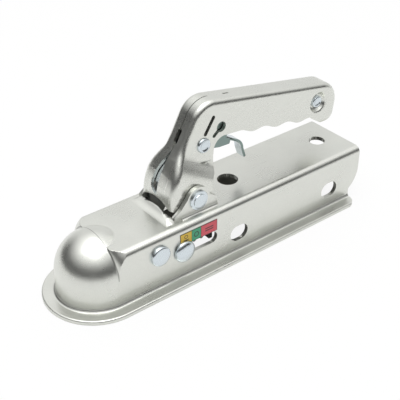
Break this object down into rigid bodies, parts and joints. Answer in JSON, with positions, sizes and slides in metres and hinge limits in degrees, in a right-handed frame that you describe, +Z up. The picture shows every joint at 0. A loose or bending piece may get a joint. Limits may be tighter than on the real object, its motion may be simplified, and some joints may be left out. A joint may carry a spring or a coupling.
{
  "type": "trailer coupling head",
  "caption": "Pressed steel trailer coupling head with a ball socket, a folded hand lever, a safety trigger, a wear indicator and a channel for a square drawbar.",
  "frame": {"origin": "centre of the towing ball", "axes": "+X runs rearward along the drawbar, +Z is up, and the indicator label faces -Y"},
  "size_m": [0.2618, 0.0756, 0.1173],
  "materials": {
    "zinc_sheet": "satin",
    "bright_zinc": "polished",
    "plain_steel": "satin",
    "label_film": "gloss"
  },
  "bodies": {
    "root": {"coupling_body": "zinc_sheet", "front_rivet": "bright_zinc", "guide_bush": "plain_steel", "pivot_rivet": "bright_zinc", "wear_label": "label_film"},
    "lever": {"handle_lever": "zinc_sheet", "pivot_bush": "plain_steel", "trigger_rivet": "bright_zinc", "trigger_bush": "plain_steel", "end_rivet": "bright_zinc", "end_spacer": "plain_steel"},
    "trigger": {"safety_trigger": "bright_zinc", "trigger_spring": "plain_steel"},
    "jaw": {"ball_jaw": "plain_steel", "indicator_bolt": "bright_zinc", "indicator_washer": "bright_zinc", "indicator_nut": "bright_zinc", "bolt_sleeve": "plain_steel", "side_spacers": "plain_steel", "spring_guide_pin": "plain_steel", "main_spring": "plain_steel"}
  },
  "joints": [
    {"name": "lever_hinge", "type": "hinge", "parent": "root", "child": "lever", "pos_m": [0.072, 0, 0.0345], "axis": [0, -1, 0], "range_deg": [0, 43]},
    {"name": "jaw_slide", "type": "slide", "parent": "root", "child": "jaw", "axis": [1, 0, 0], "range_m": [0, 0.0246], "deforming": ["main_spring"]},
    {"name": "trigger_hinge", "type": "hinge", "parent": "lever", "child": "trigger", "pos_m": [0.085, 0, 0.0673], "axis": [0, -1, 0], "range_deg": [0, 12]}
  ],
  "couplings": [
    {"joint": "jaw_slide", "follows": "lever_hinge", "m_per_rad": 0.03264}
  ]
}
